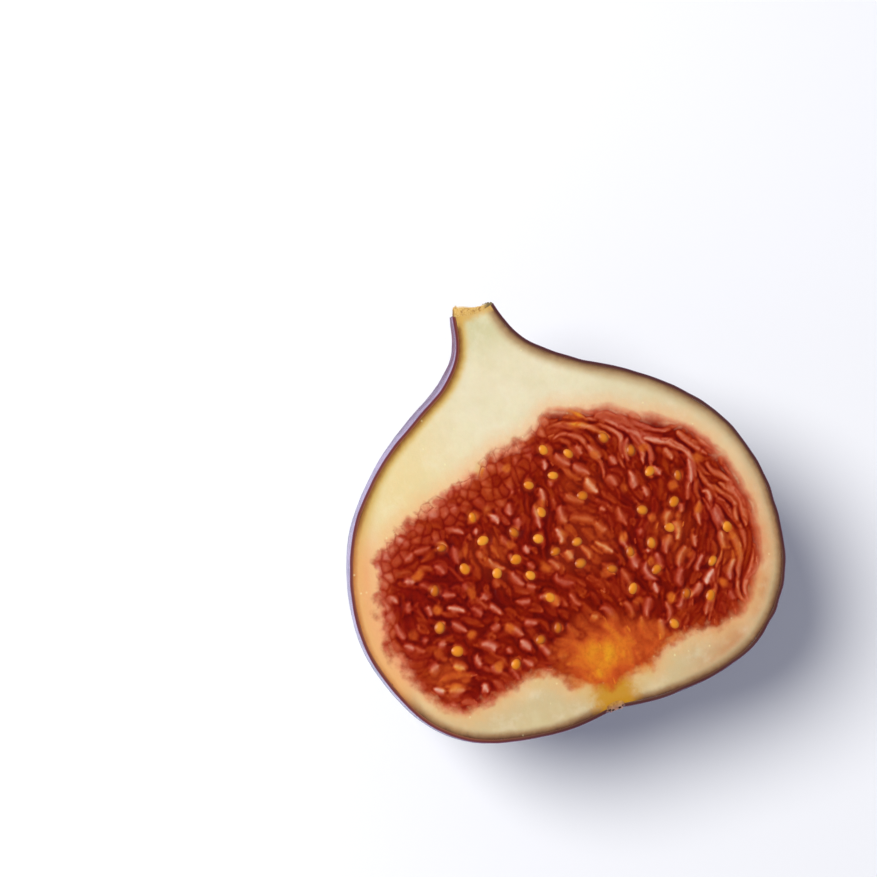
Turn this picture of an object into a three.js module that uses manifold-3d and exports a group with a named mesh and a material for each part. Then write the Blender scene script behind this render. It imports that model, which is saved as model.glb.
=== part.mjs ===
// Half of a fresh fig, cut from stem to eye and lying on its back with the cut face up.
// Millimetres. +X runs across the fruit, +Y from the eye to the stem, +Z up out of the cut face.
// The origin is under the middle of the fruit, on the surface that it rests on.
// Each layer is made whole, as it grew, and then sliced by the same knife cut.

import * as THREE from "three";
import { mergeVertices } from "three/addons/utils/BufferGeometryUtils.js";
import Module from "manifold-3d";

const wasm = await Module();
wasm.setup();

// Driving dimensions. Plan positions are in the cut face, whose own zero is the middle of the belly.
const PEEL_THICKNESS = 0.8; // coloured skin
const LAYER_GAP = 0.3; // clearance between one layer and the next
const ROUNDNESS = 0.92; // depth of the half fruit over half its width
const SETTLED_BY = 0.8; // how far the soft belly has flattened where it rests
const STEM_END_Y = 29.4; // where the stem was snapped off
const PULP_MIDDLE = new THREE.Vector2(0, -3);
const PULP_DEPTH = 17;
const PULP_SUNK_BY = 0.3; // the pulp draws back a little below the knife cut
const SEED_SIZE = new THREE.Vector3(1.6, 1.3, 1.15);
const SEED_COUNT = 42;
const SEED_SPACING = 2.5;
const SEED_STANDS_UP = 0.2; // how far a seed comes up out of the pulp
const SEEDLESS_EDGE = 2.6; // the pulp's margin has fibres and no seeds
const SEEDLESS_EDGE_BY_STEM = 5.2;
const HOLLOW = new THREE.Vector2(1, -13.5); // soft seedless place behind the eye
const HOLLOW_RADIUS = 7;
const EYE = new THREE.Vector2(-1.4, -20.3);
const EYE_SCALES = 8;
const EYE_SCALE_SIZE = new THREE.Vector3(2.6, 1.5, 2);
const EYE_RING_RADIUS = 1.7;

// Facets round the fruit, and from the stem to the eye.
const AROUND = 36;
const ALONG = 24;
const PULP_AROUND = 36;
const PULP_ALONG = 14;

// The cut edge, from the eye up each side to the corner of the stem.
const RIGHT_EDGE = [
  [EYE.x, EYE.y],
  [4.5, -20.9],
  [11.2, -20.8],
  [17.0, -19.3],
  [21.8, -15.7],
  [24.8, -10.5],
  [25.9, -3.5],
  [25.4, 2.0],
  [23.4, 7.6],
  [19.4, 12.6],
  [14.4, 16.6],
  [8.6, 20.0],
  [4.4, 23.2],
  [2.3, 26.0],
  [1.0, 30.2],
];
const LEFT_EDGE = [
  [EYE.x, EYE.y],
  [-7.4, -20.5],
  [-14.0, -19.5],
  [-19.2, -17.5],
  [-23.2, -13.8],
  [-25.8, -8.0],
  [-26.8, -2.5],
  [-25.8, 4.0],
  [-23.0, 10.3],
  [-18.0, 15.7],
  [-12.5, 19.2],
  [-8.5, 21.5],
  [-6.0, 23.8],
  [-4.7, 26.2],
  [-3.9, 30.2],
];
// How far the pulp reaches from its middle, every 15 degrees from +X round by +Y.
const PULP_REACH = [
  22, 22, 21.5, 20.5, 19, 18.5, 17, 17, 16.5, 18.5, 21.5, 23.5,
  24, 23, 21, 13.5, 13, 14.5, 14.5, 14.5, 14, 18, 22, 22.5,
];

const rightEdge = edgeCurve(RIGHT_EDGE);
const leftEdge = edgeCurve(LEFT_EDGE);
const pulpEdge = new THREE.CatmullRomCurve3(
  PULP_REACH.map((reach, i) => {
    const angle = (2 * Math.PI * i) / PULP_REACH.length;
    return new THREE.Vector3(reach * Math.cos(angle), reach * Math.sin(angle), 0);
  }),
  true,
);
const restLevel = SETTLED_BY - ROUNDNESS * widestHalf();

function edgeCurve(points) {
  return new THREE.SplineCurve(points.map(([x, y]) => new THREE.Vector2(x, y)));
}

// Half the longest chord between the two edges.
function widestHalf() {
  let widest = 0;
  for (let i = 0; i <= ALONG; i++) {
    const share = i / ALONG;
    widest = Math.max(widest, rightEdge.getPointAt(share).distanceTo(leftEdge.getPointAt(share)));
  }
  return widest / 2;
}

// A point of the whole fruit's surface: share runs from the eye to the stem, angle goes round it.
function fruitPoint(share, angle) {
  const right = rightEdge.getPointAt(share);
  const left = leftEdge.getPointAt(share);
  const middle = right.clone().add(left).multiplyScalar(0.5);
  const half = right.clone().sub(middle);
  return new THREE.Vector3(
    middle.x + half.x * Math.cos(angle),
    middle.y + half.y * Math.cos(angle),
    ROUNDNESS * half.length() * Math.sin(angle),
  );
}

// The whole fruit as a closed surface, drawn in from its skin by inset and flattened where it rests.
function wholeFruit(inset) {
  const ball = new THREE.SphereGeometry(1, AROUND, ALONG);
  const place = ball.attributes.position;
  const endOfStem = fruitPoint(1, Math.PI / 2).setZ(0);
  for (let i = 0; i < place.count; i++) {
    const spot = new THREE.Vector3().fromBufferAttribute(place, i);
    const row = Math.round((Math.acos(THREE.MathUtils.clamp(spot.y, -1, 1)) / Math.PI) * ALONG);
    const share = (ALONG - row) / (ALONG - 1);
    const point = row === 0 ? endOfStem : fruitPoint(share, Math.atan2(spot.z, spot.x));
    place.setXYZ(i, point.x, point.y, point.z);
  }
  const closed = sharedVertices(ball);
  closed.computeVertexNormals();
  const { position, normal } = closed.attributes;
  for (let i = 0; i < position.count; i++) {
    const point = new THREE.Vector3().fromBufferAttribute(position, i);
    point.addScaledVector(new THREE.Vector3().fromBufferAttribute(normal, i), -inset);
    point.z = Math.max(point.z, restLevel + inset);
    position.setXYZ(i, point.x, point.y, point.z);
  }
  closed.deleteAttribute("normal");
  return solidFrom(closed);
}

// How far the pulp reaches from its middle at an angle.
function pulpReach(angle) {
  return pulpEdge.getPoint(THREE.MathUtils.euclideanModulo(angle / (2 * Math.PI), 1)).length();
}

// The ball of pulp as it grew inside the whole fruit.
function wholePulp(outset) {
  const ball = new THREE.SphereGeometry(1, PULP_AROUND, PULP_ALONG).rotateX(Math.PI / 2);
  const place = ball.attributes.position;
  for (let i = 0; i < place.count; i++) {
    const spot = new THREE.Vector3().fromBufferAttribute(place, i);
    const angle = Math.atan2(spot.y, spot.x);
    const reach = (pulpReach(angle) + outset) * Math.hypot(spot.x, spot.y);
    place.setXYZ(
      i,
      PULP_MIDDLE.x + reach * Math.cos(angle),
      PULP_MIDDLE.y + reach * Math.sin(angle),
      spot.z * (PULP_DEPTH + outset),
    );
  }
  return solidFrom(sharedVertices(ball));
}

function sharedVertices(geometry) {
  geometry.deleteAttribute("normal");
  geometry.deleteAttribute("uv");
  return mergeVertices(geometry, 1e-4);
}

function solidFrom(geometry) {
  return new wasm.Manifold(
    new wasm.Mesh({
      numProp: 3,
      vertProperties: new Float32Array(geometry.attributes.position.array),
      triVerts: new Uint32Array(geometry.index.array),
    }),
  );
}

// A solid back as a three.js geometry.
function geometryOf(solid) {
  const mesh = solid.getMesh();
  const position = new THREE.BufferAttribute(new Float32Array(mesh.vertProperties), 3);
  return new THREE.BufferGeometry()
    .setAttribute("position", position)
    .setIndex(new THREE.BufferAttribute(new Uint32Array(mesh.triVerts), 1));
}

// Everything on the low side of a plane that lies at height along one axis.
function below(axis, height) {
  const reach = 200;
  const block = new THREE.BoxGeometry(reach, reach, reach);
  block.translate(...["x", "y", "z"].map((name) => (name === axis ? height - reach / 2 : 0)));
  return solidFrom(sharedVertices(block));
}

// The same number sequence every time, from 0 up to 1.
function steadyRandom(seed) {
  let state = seed;
  return () => {
    state = (state * 1664525 + 1013904223) % 4294967296;
    return state / 4294967296;
  };
}

// Seeds lie scattered through the pulp, none touching another, each turned its own way.
function scatterSeeds() {
  const random = steadyRandom(7);
  const seeds = [];
  while (seeds.length < SEED_COUNT) {
    const angle = random() * 2 * Math.PI;
    const byStem = angle > Math.PI / 2 && angle < Math.PI;
    const reach = pulpReach(angle) - (byStem ? SEEDLESS_EDGE_BY_STEM : SEEDLESS_EDGE);
    const distance = Math.sqrt(random()) * reach;
    const place = new THREE.Vector2(distance * Math.cos(angle), distance * Math.sin(angle)).add(PULP_MIDDLE);
    const turn = random() * Math.PI;
    const clearOf = (other) => other.place.distanceTo(place) > SEED_SPACING;
    if (place.distanceTo(HOLLOW) > HOLLOW_RADIUS && seeds.every(clearOf)) seeds.push({ place, turn });
  }
  return seeds;
}

function seedGeometry({ place, turn }, clearance) {
  const size = SEED_SIZE.clone().multiplyScalar(0.5).addScalar(clearance);
  const top = SEED_STANDS_UP - PULP_SUNK_BY;
  return new THREE.IcosahedronGeometry(1, 1)
    .scale(size.x, size.y, size.z)
    .rotateZ(turn)
    .translate(place.x, place.y, top - SEED_SIZE.z / 2);
}

// The ring of small scales that closes the eye, each half sunk in the base of the fruit.
function eyeScales() {
  let ring = null;
  for (let i = 0; i < EYE_SCALES; i++) {
    const scale = new THREE.SphereGeometry(0.5, 10, 6)
      .scale(EYE_SCALE_SIZE.x, EYE_SCALE_SIZE.y, EYE_SCALE_SIZE.z)
      .translate(EYE_RING_RADIUS, 0, 0)
      .rotateY((2 * Math.PI * (i + 0.5)) / EYE_SCALES)
      .translate(EYE.x, EYE.y, 0);
    const solid = solidFrom(sharedVertices(scale));
    ring = ring ? ring.add(solid) : solid;
  }
  return ring;
}

function material(color, roughness) {
  return new THREE.MeshStandardMaterial({ color, roughness, metalness: 0 });
}

const peelMaterial = material(0x3a2f48, 0.6);
const fleshMaterial = material(0xe9dfb4, 0.45);
const pulpMaterial = material(0x8e1d12, 0.25);
const seedMaterial = material(0xdf9a2e, 0.3);

const fig = new THREE.Group();

function addPiece(name, geometry, finish) {
  const mesh = new THREE.Mesh(geometry, finish);
  mesh.name = name;
  fig.add(mesh);
}

const knifeCut = below("z", 0);
const skin = wholeFruit(0).add(eyeScales());
const peel = skin.subtract(wholeFruit(PEEL_THICKNESS)).intersect(knifeCut).intersect(below("y", STEM_END_Y));
addPiece("peel", geometryOf(peel), peelMaterial);

const flesh = wholeFruit(PEEL_THICKNESS + LAYER_GAP).subtract(wholePulp(LAYER_GAP)).intersect(knifeCut);
addPiece("flesh", geometryOf(flesh), fleshMaterial);

const seeds = scatterSeeds();
let pulp = wholePulp(0).intersect(below("z", -PULP_SUNK_BY));
for (const seed of seeds) pulp = pulp.subtract(solidFrom(sharedVertices(seedGeometry(seed, LAYER_GAP))));
addPiece("pulp", geometryOf(pulp), pulpMaterial);

seeds.forEach((seed, i) => {
  addPiece(`seed_${String(i + 1).padStart(2, "0")}`, seedGeometry(seed, 0), seedMaterial);
});

// Stand the fruit on its resting patch, with the origin under its middle.
const box = new THREE.Box3().setFromObject(fig);
const middle = box.getCenter(new THREE.Vector3());
fig.position.set(-middle.x, -middle.y, -box.min.z);

export default fig;
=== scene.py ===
import bpy
import bmesh
import math
import numpy as np
from mathutils import Matrix, Vector


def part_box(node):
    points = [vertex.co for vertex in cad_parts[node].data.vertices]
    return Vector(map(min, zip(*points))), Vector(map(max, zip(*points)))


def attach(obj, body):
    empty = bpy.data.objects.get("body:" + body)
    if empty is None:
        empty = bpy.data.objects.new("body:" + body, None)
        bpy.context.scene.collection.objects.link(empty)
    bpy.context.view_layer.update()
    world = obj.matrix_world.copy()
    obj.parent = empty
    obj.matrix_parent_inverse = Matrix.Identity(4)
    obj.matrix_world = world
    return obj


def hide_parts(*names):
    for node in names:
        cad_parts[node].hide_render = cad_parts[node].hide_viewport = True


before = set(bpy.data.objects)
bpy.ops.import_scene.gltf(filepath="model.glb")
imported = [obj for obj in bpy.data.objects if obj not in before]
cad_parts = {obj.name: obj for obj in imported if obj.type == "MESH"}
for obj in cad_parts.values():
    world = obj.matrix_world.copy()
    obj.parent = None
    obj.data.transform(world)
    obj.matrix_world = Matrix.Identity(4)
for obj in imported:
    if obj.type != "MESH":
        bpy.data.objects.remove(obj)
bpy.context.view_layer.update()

# ---- Camera, light and floor --------------------------------------------------------------------
# The half fig lies on a white table beside a small window on its left, with pale sky light all
# round. The camera looks down on the cut face, leaning a little to the left.

MM = 0.001
LEFT_REACH = 26.78  # from the middle of the belly to the left edge of the cut, in mm
STEM_END_Y = 29.4  # from the middle of the belly to the snapped stem
LENS, SENSOR_WIDTH = 85, 36
CAMERA_PLACE = (-63.86, 5.12, 235.83)  # from the middle of the belly
CAMERA_BACK = (-0.2202, -0.0462, 0.9744)  # from the fig towards the camera
CAMERA_UP = (0.3197, 0.9403, 0.1168)  # roughly upwards in the view

peel_low, peel_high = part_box("peel")
BELLY = Vector((
    peel_low.x + LEFT_REACH * MM,
    peel_high.y - STEM_END_Y * MM,
    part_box("flesh")[1].z,
))

camera_data = bpy.data.cameras.new("camera")
camera_data.lens = LENS
camera_data.sensor_width = SENSOR_WIDTH
camera_data.clip_start = 0.01
camera = bpy.data.objects.new("camera", camera_data)
back = Vector(CAMERA_BACK).normalized()
across = Vector(CAMERA_UP).cross(back).normalized()
up = back.cross(across)
camera.matrix_world = Matrix((
    (across.x, up.x, back.x, BELLY.x + CAMERA_PLACE[0] * MM),
    (across.y, up.y, back.y, BELLY.y + CAMERA_PLACE[1] * MM),
    (across.z, up.z, back.z, BELLY.z + CAMERA_PLACE[2] * MM),
    (0, 0, 0, 1),
))
bpy.context.scene.collection.objects.link(camera)
bpy.context.scene.camera = camera

WINDOW_PLACE = (-0.40, 0.29, 0.60)
WINDOW_SIZE = 0.40
WINDOW_WATTS = 7.2
window = bpy.data.lights.new("window", "AREA")
window.shape = "DISK"
window.size = WINDOW_SIZE
window.energy = WINDOW_WATTS
window.color = (1.0, 0.985, 0.95)
lit = bpy.data.objects.new("window", window)
lit.location = WINDOW_PLACE
lit.rotation_euler = (-Vector(WINDOW_PLACE)).to_track_quat("-Z", "Y").to_euler()
bpy.context.scene.collection.objects.link(lit)

# The room's walls are pale and its ceiling is dim, so the wet cut face isn't veiled by reflections.
world = bpy.data.worlds.new("room")
world.use_nodes = True
room = world.node_tree
direction = room.nodes.new("ShaderNodeSeparateXYZ")
room.links.new(room.nodes.new("ShaderNodeTexCoord").outputs["Generated"], direction.inputs[0])
heights = room.nodes.new("ShaderNodeValToRGB")
room.links.new(direction.outputs["Z"], heights.inputs["Fac"])
heights.color_ramp.elements[0].color = (0.76, 0.77, 0.95, 1)
heights.color_ramp.elements[1].color = (0.02, 0.022, 0.028, 1)
for height, glow in ((0.5, 0.66), (0.75, 0.20)):
    heights.color_ramp.elements.new(height).color = (0.91 * glow, 0.93 * glow, 1.11 * glow, 1)
room.links.new(heights.outputs["Color"], room.nodes["Background"].inputs["Color"])
bpy.context.scene.world = world
bpy.context.scene.view_settings.view_transform = "Standard"


def new_material(name, roughness):
    material = bpy.data.materials.new(name)
    material.use_nodes = True
    shader = material.node_tree.nodes["Principled BSDF"]
    shader.inputs["Roughness"].default_value = roughness
    return material, material.node_tree, shader


def finished(name, bm, material):
    """The bmesh as an object in the scene, smooth all over."""
    mesh = bpy.data.meshes.new(name)
    bm.to_mesh(mesh)
    bm.free()
    mesh.polygons.foreach_set("use_smooth", [True] * len(mesh.polygons))
    mesh.materials.append(material)
    piece = bpy.data.objects.new(name, mesh)
    bpy.context.scene.collection.objects.link(piece)
    return piece


FLOOR_SIZE = 6
table_material, tree, shader = new_material("white table", 0.55)
shader.inputs["Base Color"].default_value = (0.86, 0.87, 0.89, 1)
bm = bmesh.new()
bmesh.ops.create_grid(bm, x_segments=1, y_segments=1, size=FLOOR_SIZE / 2)
table = finished("table", bm, table_material)


# ---- Peel ---------------------------------------------------------------------------------------
# The thin skin of the fruit, leathery and dusted with bloom. It is made as a ball stretched over
# the fruit's shape, halved by the knife, lined on the inside and closed along the cut rim.

PEEL_THICK = 0.42
PEEL_THICKER = 0.25  # more of it below the rim, out of sight
ROUNDNESS = 0.92  # depth of the half fruit over half its width
PEEL_COLUMNS = 150  # from rim to rim
PEEL_ROWS = 168  # from the eye to the stem

# The cut edge in mm, from the eye up each side to the stem.
RIGHT_EDGE = (
    (-1.4, -20.4), (4.5, -21.2), (11.2, -21.0), (17.0, -19.4), (21.8, -15.7),
    (24.8, -10.5), (25.9, -3.5), (25.4, 2.0), (23.4, 7.6), (19.4, 12.6),
    (14.4, 16.6), (8.6, 20.0), (4.4, 23.2), (2.3, 26.0), (1.0, 30.2),
)
LEFT_EDGE = (
    (-1.4, -20.4), (-7.4, -20.8), (-14.1, -19.8), (-19.4, -17.8), (-23.4, -14.0),
    (-26.1, -8.1), (-27.1, -2.5), (-26.1, 4.1), (-23.1, 10.4), (-18.0, 15.7),
    (-12.5, 19.2), (-8.5, 21.5), (-6.0, 23.8), (-4.7, 26.2), (-3.9, 30.2),
)


def through(knots, stretch, closed=False):
    """Points of a smooth curve through the knots; stretch counts knots from the first."""
    knots = np.array(knots, float)
    start = np.floor(stretch).astype(int)
    if not closed:
        start = np.minimum(start, len(knots) - 2)
    share = stretch - start
    if knots.ndim == 2:
        share = share[:, None]
    around = [start + step for step in (-1, 0, 1, 2)]
    around = [i % len(knots) if closed else np.clip(i, 0, len(knots) - 1) for i in around]
    a, b, c, d = (knots[i] for i in around)
    bend = (2 * a - 5 * b + 4 * c - d) * share + (3 * b - a - 3 * c + d) * share ** 2
    return 0.5 * (2 * b + (c - a) * share + bend * share)


def edge_at(knots, share):
    """The point a share of the way along one cut edge, measured along the edge."""
    path = through(knots, np.linspace(0, len(knots) - 1, 601))
    run = np.r_[0, np.cumsum(np.hypot(*np.diff(path, axis=0).T))]
    reached = np.asarray(share) * run[-1]
    return np.stack([np.interp(reached, run, path[:, i]) for i in (0, 1)], -1)


def fruit_surface(share, angle):
    """Skin of the whole fruit: share from eye to stem, angle 0 at the right rim, -pi at the left."""
    right, left = edge_at(RIGHT_EDGE, share), edge_at(LEFT_EDGE, share)
    middle, half = (right + left) / 2, (right - left) / 2
    flat = middle + half * np.cos(angle)[:, None]
    return np.c_[flat, ROUNDNESS * np.hypot(half[:, 0], half[:, 1]) * np.sin(angle)]


def between_corners(values, col, row, u, v):
    """A value blended from the four corners of its box in a grid of values that repeats both ways."""
    high, wide = values.shape
    near = values[row % high, col % wide] * (1 - u) + values[row % high, (col + 1) % wide] * u
    row = (row + 1) % high
    far = values[row, col % wide] * (1 - u) + values[row, (col + 1) % wide] * u
    return near * (1 - v) + far * v


def cloud(x, y, size, seed):
    """A smooth random field, -1 to 1, with patches of that size."""
    values = np.random.default_rng(seed).uniform(-1, 1, (64, 64))
    u, v = np.asarray(x) / size, np.asarray(y) / size
    col, row = np.floor(u).astype(int), np.floor(v).astype(int)
    u, v = u - col, v - row
    return between_corners(values, col, row, u * u * (3 - 2 * u), v * v * (3 - 2 * v))


def ease(low, high, x):
    share = np.clip((x - low) / (high - low), 0, 1)
    return share * share * (3 - 2 * share)


def put_down(mesh, spots):
    """Moves the vertices to these spots, given in mm from the middle of the belly."""
    mesh.vertices.foreach_set("co", (spots * MM + np.array(BELLY)).ravel())
    mesh.update()


def mark(mesh, name, values):
    mesh.attributes.new(name, "FLOAT", "POINT").data.foreach_set("value", np.asarray(values, float))


# The stem end and the level that the fruit rests on.
share_of_stem_end = 0.5 * sum(
    np.interp(STEM_END_Y, edge_at(edge, np.linspace(0.9, 1, 50))[:, 1], np.linspace(0.9, 1, 50))
    for edge in (RIGHT_EDGE, LEFT_EDGE)
)
REST_LEVEL = (peel_low.z - BELLY.z) / MM


def half_ball(columns, rows):
    """Half a ball with its poles at the stem (+Z) and the eye (-Z), open where the knife passed."""
    half = bmesh.new()
    bmesh.ops.create_uvsphere(half, u_segments=2 * columns, v_segments=rows, radius=1)
    upper = [v for v in half.verts if v.co.y > 1e-4]
    bmesh.ops.delete(half, geom=upper, context="VERTS")
    return half


def open_pole(bm):
    """Takes away a ball's pole at +Z."""
    bmesh.ops.delete(bm, geom=[v for v in bm.verts if v.co.z > 0.99999], context="VERTS")


def verts_of(bm):
    return np.array([v.co[:] for v in bm.verts])


def move_verts(bm, spots):
    for vert, spot in zip(bm.verts, spots):
        vert.co = spot


def ball_place(spots, rows):
    """Share from eye to stem and angle round the fruit for points of a half ball."""
    row = np.round(np.arccos(np.clip(spots[:, 2], -1, 1)) / math.pi * rows)
    share = (rows - row) / (rows - 1)
    angle = np.arctan2(np.minimum(spots[:, 1], 0), spots[:, 0])
    angle = np.where((spots[:, 0] < 0) & (spots[:, 1] > -1e-6), -math.pi, angle)
    return share, angle


def outward_from(bm):
    """Which way is out at each vertex of the half fruit, whose faces are turned out too."""
    bm.normal_update()
    outward = np.array([v.normal[:] for v in bm.verts])
    if (outward[:, 2] < 0).mean() < 0.5:
        bmesh.ops.reverse_faces(bm, faces=bm.faces[:])
        outward = -outward
    return outward


bm = half_ball(PEEL_COLUMNS, PEEL_ROWS)
open_pole(bm)
share, angle = ball_place(verts_of(bm), PEEL_ROWS)
skin = fruit_surface(share * share_of_stem_end, angle)
move_verts(bm, skin)
outward = outward_from(bm)
from_rim = np.minimum(-angle, math.pi + angle)
on_rim = from_rim < 1e-4
outward[on_rim, 2] = 0
outward /= np.linalg.norm(outward, axis=1)[:, None]

# Ribs from stem to eye, soft dents, fine wrinkles on the neck and a few long cracks.
SKIN_LENGTH = 62  # along the skin from eye to stem
GIRTH_RADIUS = 25  # middling distance from the core to the skin
RIB_WAVES = ((0.16, 13, 5, 0.7), (0.11, 21, -6, 2.1), (0.07, 34, 9, 0))  # height, number, sway, start
CRACK_HALF, CRACK_DEPTH = 0.30, 0.26
LIP_OFF, LIP_HALF, LIP_RISE = 0.62, 0.35, 0.05  # the raised lips on both sides of a crack
# Each crack's angle round the fruit, where it starts and ends, its sway and its own chance.
CRACKS = (
    (-0.42, 0.30, 0.86, 0.10, 81), (-0.95, 0.42, 0.90, 0.07, 82), (-1.35, 0.18, 0.55, 0.06, 83),
    (-1.82, 0.35, 0.88, 0.09, 84), (-2.30, 0.25, 0.72, 0.08, 85), (-2.72, 0.50, 0.92, 0.07, 86),
)
girth = np.hypot(*(edge_at(RIGHT_EDGE, share) - edge_at(LEFT_EDGE, share)).T) / 2
along = share * SKIN_LENGTH
around = angle * GIRTH_RADIUS
settle = ease(0.0, 0.2, from_rim)
wander = 0.10 * cloud(along, along * 0 + 9, 9, 71)
ribs = sum(high * np.cos(number * angle + sway * wander + start) for high, number, sway, start in RIB_WAVES)
ribs *= 0.55 + 0.45 * cloud(around, along, 16, 72)
dents = 0.30 * cloud(around + 90, along, 11, 73) + 0.10 * cloud(around + 90, along, 4.2, 74)
neck = ease(0.74, 0.93, share)
folds = 0.10 * np.cos(46 * angle + 3 * cloud(along, around, 3, 75))
wrinkles = neck * (folds + 0.06 * cloud(around * 3, along * 0.4, 1.0, 76))
grain = 0.022 * cloud(around, along, 0.9, 77) + 0.012 * cloud(around, along, 0.45, 78)
crack = np.zeros(len(share))
lips = np.zeros(len(share))
for centre, low, high, sway, seed in CRACKS:
    line = centre + sway * cloud(along, along * 0 + seed, 8, seed)
    line = line + 0.025 * cloud(along, along * 0, 2.2, seed + 9)
    off = np.abs(angle - line) * girth
    reach = ease(low, low + 0.05, share) * (1 - ease(high - 0.05, high, share))
    reach *= ease(-0.75, -0.2, cloud(along, along * 0 + 3, 5, seed + 20))
    crack = np.maximum(crack, reach * np.exp(-((off / CRACK_HALF) ** 2)))
    lips = np.maximum(lips, reach * np.exp(-(((off - LIP_OFF) / LIP_HALF) ** 2)))

# Below the left rim the fruit is wider than at the cut, most of all at the neck.
LEFT_SWELL = (0.0, 0.08, 0.14, 0.14, 0.14, 0.16, 0.34, 0.85, 0.8)  # from the eye to the stem
from_left = math.pi + angle
swell_mm = through(LEFT_SWELL, share * (len(LEFT_SWELL) - 1))
swell_left = swell_mm * ease(0.0, 1.8, from_left * girth) * (1 - ease(0.3, 1.1, from_left))
shape = ribs * (1 - 0.6 * neck) * ease(0.0, 0.25, share) + dents * ease(0, 0.15, share)
lift = swell_left + settle * shape
lift += settle * (wrinkles + grain - CRACK_DEPTH * crack + LIP_RISE * lips) - 0.12 * settle

outer_verts = bm.verts[:]
lined = bmesh.ops.duplicate(bm, geom=bm.verts[:] + bm.edges[:] + bm.faces[:])
bmesh.ops.reverse_faces(bm, faces=[f for f in lined["geom"] if isinstance(f, bmesh.types.BMFace)])
bm.verts.index_update()
own = np.zeros(len(bm.verts), int)
outer = np.zeros(len(bm.verts), bool)
for number, vert in enumerate(outer_verts):
    outer[vert.index] = True
    own[vert.index] = number
    own[lined["vert_map"][vert].index] = number


def sharp_boundary(bm):
    """The bmesh's open edges, which stay sharp when it is closed there."""
    edges = [edge for edge in bm.edges if edge.is_boundary]
    for edge in edges:
        edge.smooth = False
    return edges


bmesh.ops.bridge_loops(bm, edges=sharp_boundary(bm))

peel_material, tree, shader = new_material("fig peel", 0.5)
peel = finished("peel_half", bm, peel_material)
low_right = ease(0.4, 0.25, share) * (angle > -1)
rough_rim = on_rim * (0.05 + 0.07 * low_right) * cloud(along, around, 1.3, 88)
skin = skin + outward * (lift + rough_rim)[:, None]
skin[:, 2] = np.minimum(skin[:, 2], 0)
thick = PEEL_THICK + PEEL_THICKER * ease(0.05, 0.5, from_rim)
spots = skin[own] - outward[own] * (thick[own] * ~outer)[:, None]
LINING_CLEAR = 0.5  # how far the lining stays above the table
lowest = REST_LEVEL + np.where(outer, 0, LINING_CLEAR)
spots[:, 2] = np.clip(spots[:, 2], lowest, 0)
put_down(peel.data, spots)
mark(peel.data, "outer", outer)
for name, values in (
    ("along", along),
    ("around", around),
    ("neck", ease(0.66, 0.97, share)),
    ("crack", crack),
    ("rib", ribs * settle / 0.3),
    ("left", ease(1.7, 2.6, -angle) * ease(0.06, 0.3, share)),
    # the pale lip under the left rim: paler bloom and a painted sheen
    ("lip_bloom_and_sheen", ease(0.15, 0.05, from_left) * ease(0.0, 0.12, share)),
):
    mark(peel.data, name, values[own])

LIT = 1.13  # how brightly this light shows a white face that lies flat


def painted(red, green, blue):
    """A colour as it looks on the cut face, 0 to 255 each, turned into paint."""
    def paint(part):
        share = part / 255
        return (share / 12.92 if share <= 0.04045 else ((share + 0.055) / 1.055) ** 2.4) / LIT
    return (paint(red), paint(green), paint(blue), 1)


def plug(tree, socket, value):
    """Feeds a socket from another node, or sets its value; a colour is given 0 to 255."""
    if isinstance(value, bpy.types.NodeSocket):
        tree.links.new(value, socket)
    elif socket.type == "RGBA":
        socket.default_value = painted(*value)
    else:
        socket.default_value = value


def add_node(tree, kind, inputs, **settings):
    made = tree.nodes.new(kind)
    for setting, value in settings.items():
        setattr(made, setting, value)
    for name, value in inputs.items():
        plug(tree, made.inputs[name], value)
    return made


def worked_out(tree, operation, first, second, third=0.0):
    inputs = {0: first, 1: second, 2: third}
    return add_node(tree, "ShaderNodeMath", inputs, operation=operation).outputs[0]


def times(tree, first, second):
    return worked_out(tree, "MULTIPLY", first, second)


def total(tree, *values):
    found = values[0]
    for value in values[1:]:
        found = worked_out(tree, "ADD", found, value)
    return found


def eased(tree, value, low, high, to_low=0.0, to_high=1.0, way="SMOOTHSTEP"):
    """The value carried from the range low to high into another, with soft ends unless told."""
    made = add_node(
        tree, "ShaderNodeMapRange",
        {"Value": value, "From Min": low, "From Max": high, "To Min": to_low, "To Max": to_high},
        interpolation_type=way,
    )
    return made.outputs["Result"]


def over(tree, share, under, top):
    """One colour laid over another."""
    return add_node(tree, "ShaderNodeMix", {0: share, 6: under, 7: top}, data_type="RGBA").outputs[2]


def layered(tree, color, *layers):
    """Colours laid one after another over the first, each with its share."""
    for share, top in layers:
        color = over(tree, share, color, top)
    return color


def noise(tree, vector, scale, detail=2.0, roughness=0.5, warp=0.0):
    made = add_node(
        tree, "ShaderNodeTexNoise",
        {"Vector": vector, "Scale": scale, "Detail": detail, "Roughness": roughness, "Distortion": warp},
    )
    return made.outputs["Fac"]


def cells(tree, vector, scale):
    return add_node(tree, "ShaderNodeTexVoronoi", {"Vector": vector, "Scale": scale}).outputs["Distance"]


def marked(tree, name):
    return add_node(tree, "ShaderNodeAttribute", {}, attribute_name=name).outputs["Fac"]


def object_place(tree):
    return add_node(tree, "ShaderNodeTexCoord", {}).outputs["Object"]


def drawn_out(tree, across, along, stretch):
    """Places for a streaky pattern, drawn out along one of two attributes."""
    inputs = {"X": marked(tree, across), "Y": times(tree, marked(tree, along), stretch)}
    return add_node(tree, "ShaderNodeCombineXYZ", inputs).outputs[0]


def graded(tree, share, *stops):
    """A colour ramp through (place, colour) stops."""
    made = add_node(tree, "ShaderNodeValToRGB", {"Fac": share})
    ramp = made.color_ramp
    while len(ramp.elements) < len(stops):
        ramp.elements.new(0.5)
    for element, (place, color) in zip(ramp.elements, stops):
        element.position = place
    for element, (place, color) in zip(ramp.elements, stops):
        element.color = painted(*color)
    return made.outputs["Color"]


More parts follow.
